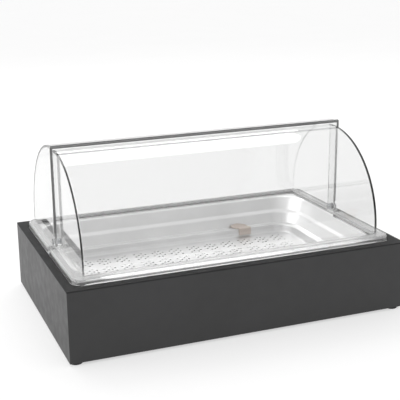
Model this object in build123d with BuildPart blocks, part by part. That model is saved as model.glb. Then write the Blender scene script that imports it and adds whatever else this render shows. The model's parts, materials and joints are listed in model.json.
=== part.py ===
"""Buffet display unit: steel housing, GN 1/1 pan with drain insert, clear two-part roll-top cover.

Millimetres. +X runs along the long side, +Y to the rear and +Z up.
The origin is the centre of the footprint, on the surface that the feet stand on.
"""
from math import atan, degrees, sqrt
import os

from build123d import *

os.makedirs("parts", exist_ok=True)

# ---- driving dimensions -------------------------------------------------------------
# gastronorm 1/1 outline, shared by the pan rim and the cover's skirt
gn_length = 530.0
gn_width = 325.0
gn_corner = 18.0

# housing
margin_x = 14.0
margin_y = 16.5
housing_length = gn_length + 2 * margin_x
housing_width = gn_width + 2 * margin_y
foot_height = 4.0
housing_height = 111.0
housing_top = foot_height + housing_height
sheet = 2.0
base_sheet = 1.5

# seat for the pan rim in the housing top
rim_play = 1.0
seat_depth = 4.0
seat_width = 13.0

# corner posts and their fixings
post_leg = 20.0
post_tab = 14.0
foot_radius = 10.0
screw_radius = 2.0
screw_head_radius = 4.0
nut_across_flats = 7.0
fixing_x = housing_length / 2 - sheet - 10.0
fixing_y = housing_width / 2 - sheet - 10.0

# insulated tub and cooling packs
tub_length = 508.0
tub_width = 304.0
tub_wall = 8.0
tub_top = housing_top - 24.0
tub_floor = foot_height + base_sheet + tub_wall
pack_gap = 8.0
pack_length = 236.0
pack_width = 270.0
pack_height = 26.0
pack_cap_radius = 11.0

# pan, as heights below the rim and insets from the gastronorm outline
pan_sheet = 1.0
pan_depth = 65.0
shoulder_top = 22.6
shoulder_bottom = 27.7
shelf_depth = 46.0
mouth_inset = 15.0
shelf_outer_inset = 33.5
shelf_inner_inset = 42.0
rim_edge_radius = 3.0
mouth_radius = 4.0
shoulder_radius = 6.0
shelf_radius = 2.0
floor_radius = 8.0

# perforated insert
insert_sheet = 1.0
insert_rim_depth = shelf_depth - insert_sheet
insert_floor_depth = 60.0
insert_rim_inset = 35.7
insert_wall_inset = 46.0
insert_draft = 1.5
insert_mouth_radius = 2.5
insert_floor_radius = 4.0
hole_radius = 1.9
hole_pitch = 6.3
cluster_columns = 4
cluster_rows = 5
cluster_pitch_y = 41.3
cluster_bands = 5

# clear cover
hinge_height = 16.0
hinge_z = housing_top + hinge_height
clear_wall = 3.0
rear_radius = 154.0
rear_half_length = 252.5
rear_lap = 5.0
front_radius = 146.7
front_half_length = 246.5
front_lap = 8.0
flange_height = 8.5
flange_draft = 2.0
lip_reach = 14.0
lip_proud = 2.2
lip_side_proud = 1.2
lip_sink = 0.4
lip_corner = 3.5
cover_edge_radius = 1.2
front_flange_start = 12.0
rear_flange_start = 4.0
boss_radius = 8.0
pin_radius = 3.0
pin_running_gap = 0.05
knob_radius = 5.0
knob_height = 3.5

inner_length = housing_length - 2 * sheet
inner_width = housing_width - 2 * sheet


def gn_outline(inset, corner):
    """Rounded gastronorm outline, drawn in the sketch that is open."""
    RectangleRounded(gn_length - 2 * inset, gn_width - 2 * inset, corner)


def on_level(shape, level):
    """True for an edge or a face that lies flat at this height."""
    box = shape.bounding_box()
    return abs(box.min.Z - level) < 0.01 and abs(box.max.Z - level) < 0.01


def export(builder, label):
    """Name a finished piece and write it."""
    builder.part.label = label
    export_step(builder.part, f"parts/{label}.step")


# ---- housing ------------------------------------------------------------------------
# top frame: a flat frame with a sunk seat for the pan rim and four welded studs
stud_length = 9.0
with BuildPart() as top_frame:
    with BuildSketch(Plane.XY.offset(housing_top - sheet)):
        RectangleRounded(housing_length, housing_width, 1.5)
    extrude(amount=sheet)
    fillet(top_frame.faces().sort_by(Axis.Z)[-1].edges(), 0.8)
    with BuildSketch(Plane.XY.offset(housing_top - seat_depth - sheet)):
        gn_outline(-rim_play - sheet, gn_corner + rim_play + sheet)
    extrude(amount=seat_depth + sheet / 2)
    with BuildSketch(Plane.XY.offset(housing_top - seat_depth)):
        gn_outline(-rim_play, gn_corner + rim_play)
    extrude(amount=seat_depth, mode=Mode.SUBTRACT)
    with BuildSketch(Plane.XY.offset(housing_top - seat_depth - sheet)):
        gn_outline(seat_width, 45.0)
    extrude(amount=sheet, mode=Mode.SUBTRACT)
    with BuildSketch(Plane.XY.offset(housing_top - sheet)):
        with GridLocations(2 * fixing_x, 2 * fixing_y, 2, 2):
            Circle(screw_radius)
    extrude(amount=-stud_length)
export(top_frame, "top_frame")

panel_height = housing_height - sheet
panel_plane = Plane.XY.offset(foot_height)

for label, side in (("front_panel", -1), ("rear_panel", 1)):
    with BuildPart() as long_panel:
        with BuildSketch(panel_plane):
            with Locations((0, side * (housing_width - sheet) / 2)):
                Rectangle(housing_length, sheet)
        extrude(amount=panel_height)
        outer_face = long_panel.faces().sort_by(Axis.Y)[-1 if side > 0 else 0]
        fillet(outer_face.edges().filter_by(Axis.Z), 1.2)
    export(long_panel, label)

for label, side in (("left_panel", -1), ("right_panel", 1)):
    with BuildPart() as end_panel:
        with BuildSketch(panel_plane):
            with Locations((side * (housing_length - sheet) / 2, 0)):
                Rectangle(sheet, inner_width)
        extrude(amount=panel_height)
    export(end_panel, label)

with BuildPart() as base_plate:
    with BuildSketch(panel_plane):
        Rectangle(inner_length, inner_width)
        with GridLocations(2 * fixing_x, 2 * fixing_y, 2, 2):
            Circle(screw_radius, mode=Mode.SUBTRACT)
        with GridLocations(60.0, 60.0, 5, 3):
            SlotOverall(24.0, 5.0, mode=Mode.SUBTRACT)
    extrude(amount=base_sheet)
export(base_plate, "base_plate")

# corner posts: an angle spot-welded into each corner, with a fixing tab top and bottom
post_bottom = foot_height + base_sheet
post_top = housing_top - sheet
corners = (
    ("front_left", -1, -1),
    ("front_right", 1, -1),
    ("rear_left", -1, 1),
    ("rear_right", 1, 1),
)
for corner, side_x, side_y in corners:
    with BuildPart() as post:
        with BuildSketch(Plane.XY.offset(post_bottom)):
            with Locations((side_x * (inner_length - post_leg) / 2, side_y * (inner_width - sheet) / 2)):
                Rectangle(post_leg, sheet)
            with Locations((side_x * (inner_length - sheet) / 2, side_y * (inner_width - post_leg) / 2)):
                Rectangle(sheet, post_leg)
        extrude(amount=post_top - post_bottom)
        for tab_z in (post_bottom, post_top - sheet):
            with BuildSketch(Plane.XY.offset(tab_z)):
                tab_x = side_x * (inner_length / 2 - sheet - post_tab / 2)
                tab_y = side_y * (inner_width / 2 - sheet - post_tab / 2)
                with Locations((tab_x, tab_y)):
                    Rectangle(post_tab, post_tab)
                with Locations((side_x * fixing_x, side_y * fixing_y)):
                    Circle(screw_radius, mode=Mode.SUBTRACT)
            extrude(amount=sheet)
    export(post, f"corner_post_{corner}")

# hexagon nuts that pull the top frame down on the posts
nut_height = 3.2
with BuildPart() as frame_nuts:
    with BuildSketch(Plane.XY.offset(post_top - sheet - nut_height)):
        with GridLocations(2 * fixing_x, 2 * fixing_y, 2, 2):
            RegularPolygon(nut_across_flats / 2, 6, major_radius=False)
            Circle(screw_radius, mode=Mode.SUBTRACT)
    extrude(amount=nut_height)
export(frame_nuts, "frame_nuts")

# rubber feet, each with a counterbore for its screw
foot_bore_depth = 2.4
for corner, side_x, side_y in corners:
    with BuildPart() as foot:
        with BuildSketch(Plane.XY):
            with Locations((side_x * fixing_x, side_y * fixing_y)):
                Circle(foot_radius)
        extrude(amount=foot_height)
        chamfer(foot.faces().sort_by(Axis.Z)[0].edges(), 0.8)
        with BuildSketch(Plane.XY):
            with Locations((side_x * fixing_x, side_y * fixing_y)):
                Circle(screw_head_radius + 0.5)
        extrude(amount=foot_bore_depth, mode=Mode.SUBTRACT)
        with BuildSketch(Plane.XY.offset(foot_bore_depth)):
            with Locations((side_x * fixing_x, side_y * fixing_y)):
                Circle(screw_radius)
        extrude(amount=foot_height - foot_bore_depth, mode=Mode.SUBTRACT)
    export(foot, f"foot_{corner}")

foot_screw_head = 1.6
foot_screw_length = 11.0
with BuildPart() as foot_screws:
    with BuildSketch(Plane.XY.offset(foot_bore_depth - foot_screw_head)):
        with GridLocations(2 * fixing_x, 2 * fixing_y, 2, 2):
            Circle(screw_head_radius)
    extrude(amount=foot_screw_head)
    with BuildSketch(Plane.XY.offset(foot_bore_depth)):
        with GridLocations(2 * fixing_x, 2 * fixing_y, 2, 2):
            Circle(screw_radius)
    extrude(amount=foot_screw_length)
    with BuildSketch(Plane.XY.offset(foot_bore_depth - foot_screw_head)):
        with GridLocations(2 * fixing_x, 2 * fixing_y, 2, 2):
            RegularPolygon(1.25, 6)
    extrude(amount=foot_screw_head * 0.6, mode=Mode.SUBTRACT)
export(foot_screws, "foot_screws")

# insulated tub that holds the cooling packs under the pan
with BuildPart() as insulated_tub:
    with BuildSketch(Plane.XY.offset(tub_floor - tub_wall)):
        RectangleRounded(tub_length, tub_width, 14.0)
    extrude(amount=tub_top - tub_floor + tub_wall)
    with BuildSketch(Plane.XY.offset(tub_floor)):
        RectangleRounded(tub_length - 2 * tub_wall, tub_width - 2 * tub_wall, 8.0)
    extrude(amount=tub_top - tub_floor, mode=Mode.SUBTRACT)
    fillet(insulated_tub.faces().sort_by(Axis.Z)[-1].edges(), 2.0)
export(insulated_tub, "insulated_tub")

# two cooling packs side by side, each with a screw cap in a corner pocket
pack_x = (pack_length + pack_gap) / 2
cap_inset = 28.0
pocket_depth = 7.0
rib_depth = 1.5
for label, side in (("left", -1), ("right", 1)):
    cap_spot = (side * (pack_x + pack_length / 2 - cap_inset), cap_inset - pack_width / 2)
    with BuildPart() as pack:
        with BuildSketch(Plane.XY.offset(tub_floor)):
            with Locations((side * pack_x, 0)):
                RectangleRounded(pack_length, pack_width, 16.0)
        extrude(amount=pack_height)
        fillet(pack.edges().filter_by(GeomType.PLANE, reverse=True).group_by(Axis.Z)[-1], 5.0)
        fillet(pack.faces().sort_by(Axis.Z)[0].edges(), 3.0)
        with BuildSketch(Plane.XY.offset(tub_floor + pack_height - pocket_depth)):
            with Locations(cap_spot):
                Circle(pack_cap_radius + 4.0)
        extrude(amount=pocket_depth, mode=Mode.SUBTRACT)
        with BuildSketch(Plane.XY.offset(tub_floor + pack_height - rib_depth)):
            with Locations((side * pack_x, 26.0)):
                with GridLocations(0, 36.0, 1, 5):
                    SlotOverall(pack_length - 60.0, 12.0)
        extrude(amount=rib_depth, mode=Mode.SUBTRACT)
    export(pack, f"cooling_pack_{label}")
    with BuildPart() as cap:
        with BuildSketch(Plane.XY.offset(tub_floor + pack_height - pocket_depth)):
            with Locations(cap_spot):
                Circle(pack_cap_radius)
                with PolarLocations(pack_cap_radius, 18):
                    Circle(0.9, mode=Mode.SUBTRACT)
        extrude(amount=pocket_depth - 1.0)
    export(cap, f"pack_cap_{label}")

# ---- pan ----------------------------------------------------------------------------
# the bowl's inside, from the mouth down to the shelf, and from the shelf to the floor
upper_bowl = (
    (0.0, mouth_inset, 52.0),
    (shoulder_top, 22.9, 50.0),
    (shoulder_bottom, 27.1, 46.0),
    (shelf_depth, shelf_outer_inset, 40.0),
)
lower_bowl = (
    (shelf_depth, shelf_inner_inset, 34.0),
    (pan_depth, 45.0, 31.0),
)



def rim_blank(inset):
    """Rim with a rolled outer edge; inset by the sheet, it is the hollow under the rim."""
    with BuildPart() as blank:
        with BuildSketch(Plane.XY.offset(housing_top - seat_depth)):
            gn_outline(inset, gn_corner - inset)
        extrude(amount=seat_depth - inset)
        fillet(blank.faces().sort_by(Axis.Z)[-1].edges(), rim_edge_radius - inset)
    return blank.part


def bowl_blank(wall):
    """The bowl's hollow, closed by a plate over its mouth; at the sheet's wall, its outside."""
    with BuildPart() as blank:
        with BuildSketch(Plane.XY.offset(housing_top - wall)):
            gn_outline(rim_edge_radius, gn_corner - rim_edge_radius)
        extrude(amount=pan_sheet)
        for sections in (upper_bowl, lower_bowl):
            for depth, inset, corner in sections:
                drop = depth + wall if depth > 0 else 0.0
                with BuildSketch(Plane.XY.offset(housing_top - drop)):
                    gn_outline(inset - wall, corner + wall)
            loft(ruled=True)
        plate = blank.faces().filter_by(lambda face: on_level(face, housing_top - wall))[0]
        fillet(plate.inner_wires()[0].edges(), mouth_radius - wall)
        shelf = blank.faces().filter_by(lambda face: on_level(face, housing_top - shelf_depth - wall))[0]
        fillet(shelf.outer_wire().edges(), shelf_radius + wall)
        shelf = blank.faces().filter_by(lambda face: on_level(face, housing_top - shelf_depth - wall))[0]
        fillet(shelf.inner_wires()[0].edges(), shelf_radius - wall)
        fillet(blank.faces().sort_by(Axis.Z)[0].edges(), floor_radius + wall)
        for depth in (shoulder_top, shoulder_bottom):
            ring = blank.edges().filter_by(lambda edge: on_level(edge, housing_top - depth - wall))
            fillet(ring, shoulder_radius)
    return blank.part


with BuildPart() as gn_pan:
    add(rim_blank(0.0))
    add(rim_blank(pan_sheet), mode=Mode.SUBTRACT)
    add(bowl_blank(pan_sheet))
    add(bowl_blank(0.0), mode=Mode.SUBTRACT)
export(gn_pan, "gn_pan")

# perforated insert: a shallow tray whose rim lies on the pan's shelf
insert_rim_z = housing_top - insert_rim_depth
insert_floor_z = housing_top - insert_floor_depth
insert_wall = (
    (insert_rim_depth, insert_wall_inset, 31.0),
    (insert_floor_depth, insert_wall_inset + insert_draft, 31.0 - insert_draft),
)
cluster_width = (cluster_columns - 1) * hole_pitch
band_start = -2 * cluster_pitch_y
# clusters come in threes: a wide gap, then two narrow ones
narrow_step = cluster_width + 13.0
wide_step = cluster_width + 17.7
group_step = 2 * narrow_step + wide_step
row_offset = (cluster_rows - 1) / 2
# columns that are punched in the odd and the even rows of each kind of cluster
cluster_kinds = (
    ((0, 2), (1, 3)),
    ((1, 2), (0, 3)),
    ((1, 3), (0, 2)),
)
hole_spots = []
for band in range(cluster_bands):
    band_y = band_start + band * cluster_pitch_y
    for group in range(4):
        for kind, (odd_columns, even_columns) in enumerate(cluster_kinds):
            cluster_x = (group - 2) * group_step + wide_step / 2 - cluster_width / 2 + kind * narrow_step
            for row in range(cluster_rows):
                hole_y = band_y + (row_offset - row) * hole_pitch
                for column in (odd_columns, even_columns)[row % 2]:
                    hole_spots.append((cluster_x + column * hole_pitch, hole_y))



def tray_blank(wall):
    """The insert's hollow, closed by a plate over its mouth; at the sheet's wall, its outside."""
    with BuildPart() as blank:
        with BuildSketch(Plane.XY.offset(insert_rim_z - wall)):
            gn_outline(insert_rim_inset, 38.0)
        extrude(amount=insert_sheet)
        for depth, inset, corner in insert_wall:
            drop = depth + wall if depth > insert_rim_depth else depth
            with BuildSketch(Plane.XY.offset(housing_top - drop)):
                gn_outline(inset - wall, corner + wall)
        loft(ruled=True)
        plate = blank.faces().filter_by(lambda face: on_level(face, insert_rim_z - wall))[0]
        fillet(plate.inner_wires()[0].edges(), insert_mouth_radius - wall)
        fillet(blank.faces().sort_by(Axis.Z)[0].edges(), insert_floor_radius + wall)
    return blank.part


with BuildPart() as perforated_insert:
    add(tray_blank(insert_sheet))
    add(tray_blank(0.0), mode=Mode.SUBTRACT)
    with BuildSketch(Plane.XY.offset(insert_floor_z)):
        with Locations(hole_spots):
            Circle(hole_radius)
    extrude(amount=-insert_sheet, mode=Mode.SUBTRACT)
export(perforated_insert, "perforated_insert")

# lifting clip: a bent strip hooked over the rear rim of the insert, with a skewed finger tongue
clip_x = 132.0
clip_width = 23.6
clip_sheet = 1.6
clip_leaf = 12.0
clip_play = 0.3
clip_fold_radius = 2.4
tongue_start = 5.0
tongue_reach = 17.0
tongue_rise = 5.0
tongue_skew = 12.0
clip_rear_y = gn_width / 2 - insert_wall_inset - insert_draft - clip_play
clip_front_y = clip_rear_y - clip_sheet
with BuildPart() as insert_clip:
    with BuildSketch(Plane.YZ.offset(clip_x)) as clip_side:
        with BuildLine():
            Polyline(
                (clip_front_y, insert_rim_z - clip_leaf),
                (clip_front_y, insert_rim_z + clip_sheet),
                (clip_front_y + tongue_start, insert_rim_z + clip_sheet),
                (clip_front_y + tongue_reach, insert_rim_z + clip_sheet + tongue_rise),
                (clip_front_y + tongue_reach, insert_rim_z + tongue_rise),
                (clip_front_y + tongue_start, insert_rim_z),
                (clip_rear_y, insert_rim_z),
                (clip_rear_y, insert_rim_z - clip_leaf),
                close=True,
            )
        make_face()
        fold = clip_side.vertices().group_by(Axis.X)[0].sort_by(Axis.Y)[-1]
        fillet(fold, clip_fold_radius)
    extrude(amount=clip_width / 2 + tongue_skew, both=True)
    with BuildSketch(Plane.XY.offset(insert_rim_z - clip_leaf)) as clip_plan:
        with BuildLine():
            Polyline(
                (clip_x - clip_width / 2, clip_front_y),
                (clip_x + clip_width / 2, clip_front_y),
                (clip_x + clip_width / 2, clip_rear_y),
                (clip_x + 4.0, clip_front_y + tongue_reach - 5.0),
                (clip_x - 10.0, clip_front_y + tongue_reach),
                (clip_x - clip_width / 2 - tongue_skew, clip_front_y + tongue_reach - 3.0),
                (clip_x - clip_width / 2 - tongue_skew, clip_front_y + tongue_reach - 8.0),
                (clip_x - clip_width / 2, clip_rear_y),
                close=True,
            )
        make_face()
        tongue_corners = clip_plan.vertices().filter_by(lambda corner: corner.Y > clip_rear_y + 1)
        fillet(tongue_corners, 2.0)
    extrude(amount=clip_leaf + clip_sheet + tongue_rise, mode=Mode.INTERSECT)
export(insert_clip, "insert_clip")

# ---- clear cover --------------------------------------------------------------------
draft_angle = degrees(atan(flange_draft / flange_height))
inner_edge_radius = 1.0
underside_z = housing_top + flange_height - clear_wall


def half_blank(radius, half_length, lap, foot_z, side, edge_radius):
    """Solid dome half, its edges rounded where the barrel meets the end walls: side 1 is the rear."""
    crown_z = hinge_z + sqrt(radius**2 - lap**2)
    diagonal = radius * sqrt(0.5)
    with BuildPart() as blank:
        with BuildSketch(Plane.YZ):
            with BuildLine():
                Polyline(
                    (side * radius, hinge_z),
                    (side * radius, foot_z),
                    (-side * lap, foot_z),
                    (-side * lap, crown_z),
                )
                ThreePointArc(
                    (-side * lap, crown_z),
                    (side * diagonal, hinge_z + diagonal),
                    (side * radius, hinge_z),
                )
            make_face()
        extrude(amount=half_length, both=True)
        barrel_ends = blank.edges().filter_by(GeomType.CIRCLE)
        fillet(barrel_ends, edge_radius)
    return blank.part


def flange_blank(side, start):
    """Drafted rail of one half around the dome's foot, still closed over the pan."""
    with BuildPart() as blank:
        with BuildSketch(Plane.XY.offset(housing_top)):
            gn_outline(0, gn_corner)
        extrude(amount=flange_height, taper=draft_angle)
        fillet(blank.faces().sort_by(Axis.Z)[-1].edges(), 2.5)
        with BuildSketch(Plane.XY.offset(housing_top)):
            with Locations((0, side * (start + gn_width / 2))):
                Rectangle(gn_length, gn_width)
        extrude(amount=flange_height, mode=Mode.INTERSECT)
    return blank.part


rear_blank = half_blank(rear_radius, rear_half_length, rear_lap, underside_z, 1, cover_edge_radius)
rear_hollow = half_blank(
    rear_radius - clear_wall,
    rear_half_length - clear_wall,
    rear_lap + boss_radius,
    housing_top - 1,
    1,
    inner_edge_radius,
)
rear_flange = flange_blank(1, rear_flange_start)
lip_foot_z = hinge_z + boss_radius
with BuildPart() as rear_shell:
    # proud lip at the rear half's front edge, which tapers into the wall behind it
    for lip_y, proud, side_proud in (
        (-rear_lap, lip_proud, lip_side_proud),
        (lip_reach - rear_lap, -lip_sink, -lip_sink),
    ):
        lip_top_z = hinge_z + sqrt(rear_radius**2 - lip_y**2) + proud
        lip_length = 2 * (rear_half_length + side_proud)
        with BuildSketch(Plane.XZ.offset(-lip_y)):
            with Locations((0, (lip_top_z + lip_foot_z) / 2)):
                RectangleRounded(lip_length, lip_top_z - lip_foot_z, lip_corner)
    loft(ruled=True)
    add(rear_blank)
    add(rear_flange)
    with BuildSketch(Plane.YZ):
        with Locations((0, hinge_z)):
            Circle(boss_radius)
    extrude(amount=rear_half_length, both=True)
    add(rear_hollow, mode=Mode.SUBTRACT)
    with BuildSketch(Plane.YZ):
        with Locations((0, hinge_z)):
            Circle(pin_radius)
    extrude(amount=gn_length / 2, both=True, mode=Mode.SUBTRACT)
export(rear_shell, "rear_shell")

front_blank = half_blank(front_radius, front_half_length, front_lap, underside_z, -1, cover_edge_radius)
front_hollow = half_blank(
    front_radius - clear_wall,
    front_half_length - clear_wall,
    front_lap + 5,
    housing_top - 1,
    -1,
    inner_edge_radius,
)
front_flange = flange_blank(-1, front_flange_start)
with BuildPart() as front_shell:
    add(front_blank)
    add(front_flange)
    add(front_hollow, mode=Mode.SUBTRACT)
    with BuildSketch(Plane.YZ):
        with Locations((0, hinge_z)):
            Circle(pin_radius + pin_running_gap)
    extrude(amount=gn_length / 2, both=True, mode=Mode.SUBTRACT)
export(front_shell, "front_shell")

# hinge on each side: a shouldered pin, a spacer between the two walls and a cap inside
spacer_radius = 6.0
wall_gap = rear_half_length - clear_wall - front_half_length
spacer_thickness = wall_gap - 0.4
cap_radius = 5.0
cap_thickness = 3.0
cap_gap = 0.3
inner_face_x = front_half_length - clear_wall
for label, side in (("left", -1), ("right", 1)):
    with BuildPart() as pin:
        with BuildSketch(Plane.YZ.offset(side * rear_half_length)):
            with Locations((0, hinge_z)):
                Circle(knob_radius)
        extrude(amount=side * knob_height)
        outer_face = pin.faces().sort_by(Axis.X)[-1 if side > 0 else 0]
        fillet(outer_face.edges(), 1.2)
        with BuildSketch(Plane.YZ.offset(side * rear_half_length)):
            with Locations((0, hinge_z)):
                Circle(pin_radius)
        extrude(amount=-side * (rear_half_length - inner_face_x + cap_gap + cap_thickness))
    export(pin, f"hinge_pin_{label}")
    with BuildPart() as spacer:
        with BuildSketch(Plane.YZ.offset(side * (front_half_length + 0.2))):
            with Locations((0, hinge_z)):
                Circle(spacer_radius)
                Circle(pin_radius, mode=Mode.SUBTRACT)
        extrude(amount=side * spacer_thickness)
    export(spacer, f"hinge_spacer_{label}")
    with BuildPart() as pin_cap:
        with BuildSketch(Plane.YZ.offset(side * (inner_face_x - cap_gap))):
            with Locations((0, hinge_z)):
                Circle(cap_radius)
                Circle(pin_radius, mode=Mode.SUBTRACT)
        extrude(amount=-side * cap_thickness)
    export(pin_cap, f"pin_cap_{label}")
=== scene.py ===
"""Looks of the roll-top buffet unit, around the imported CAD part.

Metres, in the row frame: +X along the long side, +Y to the rear, +Z up, feet on z = 0.
"""
import json
from math import pi, radians

import bpy
from mathutils import Matrix, Vector


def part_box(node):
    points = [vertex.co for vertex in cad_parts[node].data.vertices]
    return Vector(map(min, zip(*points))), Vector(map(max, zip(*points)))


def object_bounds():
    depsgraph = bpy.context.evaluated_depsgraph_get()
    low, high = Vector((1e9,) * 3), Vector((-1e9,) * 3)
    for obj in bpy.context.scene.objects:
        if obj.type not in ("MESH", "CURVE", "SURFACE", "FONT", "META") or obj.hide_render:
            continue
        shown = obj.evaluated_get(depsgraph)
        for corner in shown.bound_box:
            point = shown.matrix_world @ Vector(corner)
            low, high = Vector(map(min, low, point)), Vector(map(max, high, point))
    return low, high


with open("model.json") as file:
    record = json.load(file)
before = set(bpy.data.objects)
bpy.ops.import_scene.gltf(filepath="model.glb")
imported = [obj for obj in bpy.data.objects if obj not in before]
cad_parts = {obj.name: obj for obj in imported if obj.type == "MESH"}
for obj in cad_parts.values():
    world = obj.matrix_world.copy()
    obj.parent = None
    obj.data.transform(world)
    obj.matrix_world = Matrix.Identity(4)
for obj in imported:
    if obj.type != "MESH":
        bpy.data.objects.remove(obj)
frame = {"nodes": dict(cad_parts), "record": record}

cad_low, cad_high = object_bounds()
nodes = frame["nodes"]
MM = 0.001

# Clear cover
COVER_TINT = (0.905, 0.906, 0.905, 1)
HINGE_TINT = (0.95, 0.96, 0.97, 1)
PLASTIC_IOR = 1.56
SATIN_TOP = 8.4 * MM       # satin's upper edge above the pan's rim, just under the rail's top
SATIN_BAND = 4.5 * MM      # height of the satin on the rail
LIP_SETBACK = 3.0 * MM     # lip's front face behind the rear half's foremost point
EDGE_BLUR = 0.4 * MM       # width over which one finish turns into the other
LIP_SATIN = 0.5            # share of satin on the lip's face, where the rail has 1
SATIN_ROUGH = (0.24, 0.36)
SATIN_CLARITY = 0.66       # transmission left in a satin face

# Stage
FLOOR_SIDE = 160.0
FLOOR_TONE = 0.42
FLOOR_GLOW = 0.55


# ---- shader helpers -----------------------------------------------------------------
class Shader:
    """A material's node tree with a Principled shader, built up call by call."""

    def __init__(self, name, **settings):
        self.material = bpy.data.materials.new(name)
        self.material.use_nodes = True
        self.tree = self.material.node_tree
        self.shader = self.tree.nodes["Principled BSDF"]
        self.output = self.tree.nodes["Material Output"]
        for socket, value in settings.items():
            self.shader.inputs[socket.replace("_", " ")].default_value = value
        self.place = self.tree.nodes.new("ShaderNodeTexCoord").outputs["Object"]

    def node(self, kind, links=(), **values):
        """A new node: links set its inputs from sockets, values set attributes."""
        new = self.tree.nodes.new("ShaderNode" + kind)
        for key, value in values.items():
            setattr(new, key, value)
        for socket, source in dict(links).items():
            if isinstance(source, bpy.types.NodeSocket):
                self.tree.links.new(source, new.inputs[socket])
            else:
                new.inputs[socket].default_value = source
        return new

    def scaled(self, scale):
        """The object's place, stretched by scale."""
        return self.node("Mapping", {"Vector": self.place, "Scale": scale}).outputs["Vector"]

    def noise(self, scale, detail=2.0, rough=0.5, stretch=(1, 1, 1)):
        """Noise from 0 to 1 with scale in features per metre."""
        return self.node("TexNoise", {"Vector": self.scaled(stretch), "Scale": scale,
                                      "Detail": detail, "Roughness": rough}).outputs["Fac"]

    def remap(self, source, low, high, new_low, new_high):
        """Source from low..high to new_low..new_high, clamped."""
        return self.node("MapRange", {"Value": source, "From Min": low, "From Max": high,
                                      "To Min": new_low, "To Max": new_high}).outputs["Result"]

    def mix(self, factor, a, b):
        """Colour a to colour b by factor."""
        new = self.node("Mix", {"Factor": factor}, data_type="RGBA")
        for socket, source in (("A_Color", a), ("B_Color", b)):
            target = next(i for i in new.inputs if i.identifier == socket)
            if isinstance(source, bpy.types.NodeSocket):
                self.tree.links.new(source, target)
            else:
                target.default_value = source
        return next(o for o in new.outputs if o.identifier == "Result_Color")

    def feed(self, socket, source):
        """Drive the shader's own input from source."""
        self.tree.links.new(source, self.shader.inputs[socket])

    def bump(self, height, distance, strength):
        """A normal that follows height, distance metres deep."""
        return self.node("Bump", {"Height": height, "Distance": distance,
                                  "Strength": strength}).outputs["Normal"]


def grey(value, blue=0.0):
    """A grey, with blue added to its blue channel."""
    return (value, value, value + blue, 1.0)


def dress(names, material):
    """Give CAD nodes a material."""
    for name in names:
        slots = nodes[name].data.materials
        slots.clear()
        slots.append(material)


# ---- materials ----------------------------------------------------------------------
def powder_coat(name, tone, rough, gloss):
    """Dark textured coat: tone is its mean grey and gloss its specular level."""
    s = Shader(name, Base_Color=grey(tone), Roughness=rough, Specular_IOR_Level=gloss)
    blotch = s.remap(s.noise(9.0, 3.0), 0.3, 0.7, 0, 1)
    s.feed("Base Color", s.mix(blotch, grey(tone * 0.93), grey(tone * 1.07, 0.001)))
    s.feed("Roughness", s.remap(s.noise(60.0, 3.0), 0.3, 0.7, rough - 0.05, rough + 0.05))
    s.feed("Normal", s.bump(s.noise(1400.0, 1.5), 0.00006, 0.35))
    return s.material


def steel(name, tone, rough, brushed):
    """Stainless or zinc: fine grain, drawn out along X when brushed."""
    s = Shader(name, Base_Color=grey(tone), Metallic=1.0, Roughness=rough)
    streak = s.noise(260.0, 4.0, 0.6, stretch=(0.03, 1.0, 1.0) if brushed else (1, 1, 1))
    cloud = s.noise(14.0, 3.0)
    s.feed("Base Color", s.mix(s.remap(cloud, 0.3, 0.7, 0, 1), grey(tone * 0.95), grey(tone * 1.03)))
    s.feed("Roughness", s.remap(streak, 0.25, 0.75, rough - 0.05, rough + 0.06))
    s.feed("Normal", s.bump(streak, 0.00002, 0.4))
    return s.material


def satin_mask(s, rail_top, lip_front=None):
    """1 on the rail's band under rail_top, LIP_SATIN on the lip's face at lip_front, 0 elsewhere."""
    spot = s.node("SeparateXYZ", {0: s.place})
    start = rail_top - SATIN_BAND
    above = s.remap(spot.outputs["Z"], start, start + EDGE_BLUR, 0.0, 1.0)
    below = s.remap(spot.outputs["Z"], rail_top, rail_top + EDGE_BLUR, 1.0, 0.0)
    mask = s.node("Math", {0: above, 1: below}, operation="MULTIPLY").outputs[0]
    if lip_front is not None:
        face = s.remap(spot.outputs["Y"], lip_front + EDGE_BLUR, lip_front + 2 * EDGE_BLUR, LIP_SATIN, 0.0)
        mask = s.node("Math", {0: mask, 1: face}, operation="MAXIMUM").outputs[0]
    return mask


def clear_plastic(name, tint, rough, rail_top=None, lip_front=None):
    """Clear moulding: satin on the rail's band under rail_top and on the lip's face at lip_front."""
    s = Shader(name, Base_Color=tint, Roughness=rough, IOR=PLASTIC_IOR, Transmission_Weight=1.0)
    haze = s.remap(s.noise(40.0, 3.0), 0.4, 0.8, rough, rough + 0.03)
    s.feed("Normal", s.bump(s.noise(14.0, 1.0), 0.00008, 0.25))
    if rail_top is None:
        s.feed("Roughness", haze)
    else:
        mask = satin_mask(s, rail_top, lip_front)
        grain = s.remap(s.noise(900.0, 2.0), 0.3, 0.7, *SATIN_ROUGH)
        s.feed("Roughness", s.node("Mix", {0: mask, 2: haze, 3: grain}).outputs[0])
        s.feed("Transmission Weight", s.remap(mask, 0.0, 1.0, 1.0, SATIN_CLARITY))
    # Lamps shine through the moulding as through a thin sheet.
    path = s.node("LightPath")
    open_air = s.node("BsdfTransparent", {"Color": grey(0.97)})
    both = s.node("MixShader", {0: path.outputs["Is Shadow Ray"], 1: s.shader.outputs[0],
                                2: open_air.outputs[0]})
    s.tree.links.new(both.outputs[0], s.output.inputs["Surface"])
    return s.material


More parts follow.
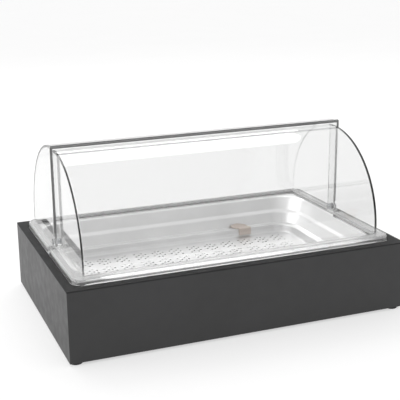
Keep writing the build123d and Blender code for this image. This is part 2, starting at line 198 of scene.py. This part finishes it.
def moulded(name, colour, rough, grain, depth):
    """Opaque plastic, rubber or foam: grain is in features per metre and depth in metres."""
    s = Shader(name, Base_Color=colour, Roughness=rough)
    darker = tuple(c * 0.88 for c in colour[:3]) + (1.0,)
    s.feed("Base Color", s.mix(s.remap(s.noise(30.0, 3.0), 0.3, 0.7, 0, 1), darker, colour))
    s.feed("Roughness", s.remap(s.noise(90.0, 2.0), 0.3, 0.7, rough - 0.06, rough + 0.08))
    s.feed("Normal", s.bump(s.noise(grain, 2.0), depth, 0.5))
    return s.material


paint = powder_coat("anthracite_powder_coat", 0.025, 0.46, 0.5)
# Painted shade: a duller, less glossy copy of the same housing coat for the top frame, so the top reads
# darker; the housing has one coat.
shaded_top_paint = powder_coat("anthracite_top_painted_shade", 0.028, 0.62, 0.10)
satin = steel("satin_stainless", 0.95, 0.37, True)
insert_steel = steel("satin_insert", 0.80, 0.42, False)
zinc = steel("zinc_plate", 0.62, 0.38, False)
rail_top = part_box("gn_pan")[1].z + SATIN_TOP
lip_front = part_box("rear_shell")[0].y + LIP_SETBACK
clear = clear_plastic("clear_cover", COVER_TINT, 0.0, rail_top)
clear_rear = clear_plastic("clear_cover_rear", COVER_TINT, 0.0, rail_top, lip_front)
clear_small = clear_plastic("clear_hinge", HINGE_TINT, 0.05)
rubber = moulded("foot_rubber", (0.025, 0.025, 0.026, 1), 0.72, 1800.0, 0.00006)
foam = moulded("foam_tub", (0.09, 0.09, 0.10, 1), 0.65, 900.0, 0.0002)
pack = moulded("pack_blue", (0.07, 0.24, 0.55, 1), 0.34, 700.0, 0.00008)
cap = moulded("pack_cap_white", (0.78, 0.80, 0.83, 1), 0.45, 900.0, 0.00006)
beige = moulded("clip_beige", (0.66, 0.57, 0.51, 1), 0.32, 1500.0, 0.00003)

by_slot = {"housing_paint": paint, "zinc_steel": zinc, "foot_rubber": rubber, "tub_plastic": foam,
           "pack_plastic": pack, "pack_cap_plastic": cap, "stainless_pan": satin,
           "stainless_insert": insert_steel, "clip_plastic": beige, "clear_cover": clear,
           "clear_hinge": clear_small}
for row in frame["record"]["subparts"]:
    dress([row["node"]], by_slot[row["material_slot"]])
dress(["rear_shell"], clear_rear)
# The top frame gets the painted-shade copy of the housing coat.
dress(["top_frame"], shaded_top_paint)


# ---- stage --------------------------------------------------------------------------
def floor_material(tone, glow):
    """A white studio floor that glows a little."""
    s = Shader("floor_white", Base_Color=grey(tone), Roughness=0.9, Specular_IOR_Level=0.1)
    s.feed("Base Color", s.mix(s.noise(3.0, 2.0), grey(tone - 0.01), grey(tone + 0.01)))
    s.shader.inputs["Emission Color"].default_value = grey(1.0)
    s.shader.inputs["Emission Strength"].default_value = glow
    return s.material


bpy.ops.mesh.primitive_plane_add(size=FLOOR_SIDE)
floor = bpy.context.object
floor.name = "floor"
floor.data.materials.append(floor_material(FLOOR_TONE, FLOOR_GLOW))


def studio_world(front, back, ceiling):
    """A soft studio: a dim front, a bright low wall behind the object and a ceiling between the two."""
    world = bpy.data.worlds.new("studio")
    bpy.context.scene.world = world
    world.use_nodes = True
    tree = world.node_tree
    way = tree.nodes.new("ShaderNodeTexCoord").outputs["Generated"]
    part = tree.nodes.new("ShaderNodeSeparateXYZ")
    tree.links.new(way, part.inputs[0])

    def ramp(source, low, high, new_low, new_high):
        """Source from low..high to new_low..new_high, smoothly; each may be a socket."""
        node = tree.nodes.new("ShaderNodeMapRange")
        node.interpolation_type = "SMOOTHSTEP"
        for name, value in (("Value", source), ("From Min", low), ("From Max", high),
                            ("To Min", new_low), ("To Max", new_high)):
            if isinstance(value, bpy.types.NodeSocket):
                tree.links.new(value, node.inputs[name])
            else:
                node.inputs[name].default_value = value
        return node.outputs["Result"]

    walls = ramp(part.outputs["Y"], -0.4, 0.6, front, back)
    level = ramp(part.outputs["Z"], 0.25, 0.65, walls, ceiling)
    tree.nodes["Background"].inputs["Color"].default_value = grey(1.0)
    tree.links.new(level, tree.nodes["Background"].inputs["Strength"])


studio_world(0.50, 0.92, 1.00)


def soft_box(name, place, target, size, radiance):
    """A rectangular light that faces target."""
    data = bpy.data.lights.new(name, "AREA")
    data.shape = "RECTANGLE"
    data.size, data.size_y = size
    data.energy = radiance * pi * size[0] * size[1]     # watts that give that radiance
    light = bpy.data.objects.new(name, data)
    light.location = place
    light.rotation_euler = (Vector(target) - Vector(place)).to_track_quat("-Z", "Y").to_euler()
    light.visible_camera = False
    bpy.context.scene.collection.objects.link(light)


centre = Vector((0, 0, (cad_low.z + cad_high.z) / 2))
soft_box("overhead_bank", centre + Vector((0, 1.72, 1.85)), centre, (2.92, 1.3), 1.9)
soft_box("left_bank", (-2.9, 0.1, 1.3), centre, (3.0, 2.2), 1.7)

# ---- camera -------------------------------------------------------------------------
EYE = Vector((-543.7, -1335.0, 585.0)) * MM
TURN, DIP, ROLL = radians(20.415), radians(15.972), radians(0.923)
lens = bpy.data.cameras.new("camera")
lens.sensor_width = 36.0
lens.lens = 80.9
lens.shift_x = 0.061
lens.shift_y = -0.002
lens.clip_start = 0.05
lens.clip_end = 60.0
camera = bpy.data.objects.new("camera", lens)
camera.matrix_world = (Matrix.Translation(EYE) @ Matrix.Rotation(-TURN, 4, "Z")
                       @ Matrix.Rotation(radians(90) - DIP, 4, "X") @ Matrix.Rotation(-ROLL, 4, "Z"))
bpy.context.scene.collection.objects.link(camera)
bpy.context.scene.camera = camera
bpy.context.scene.view_settings.view_transform = "Standard"
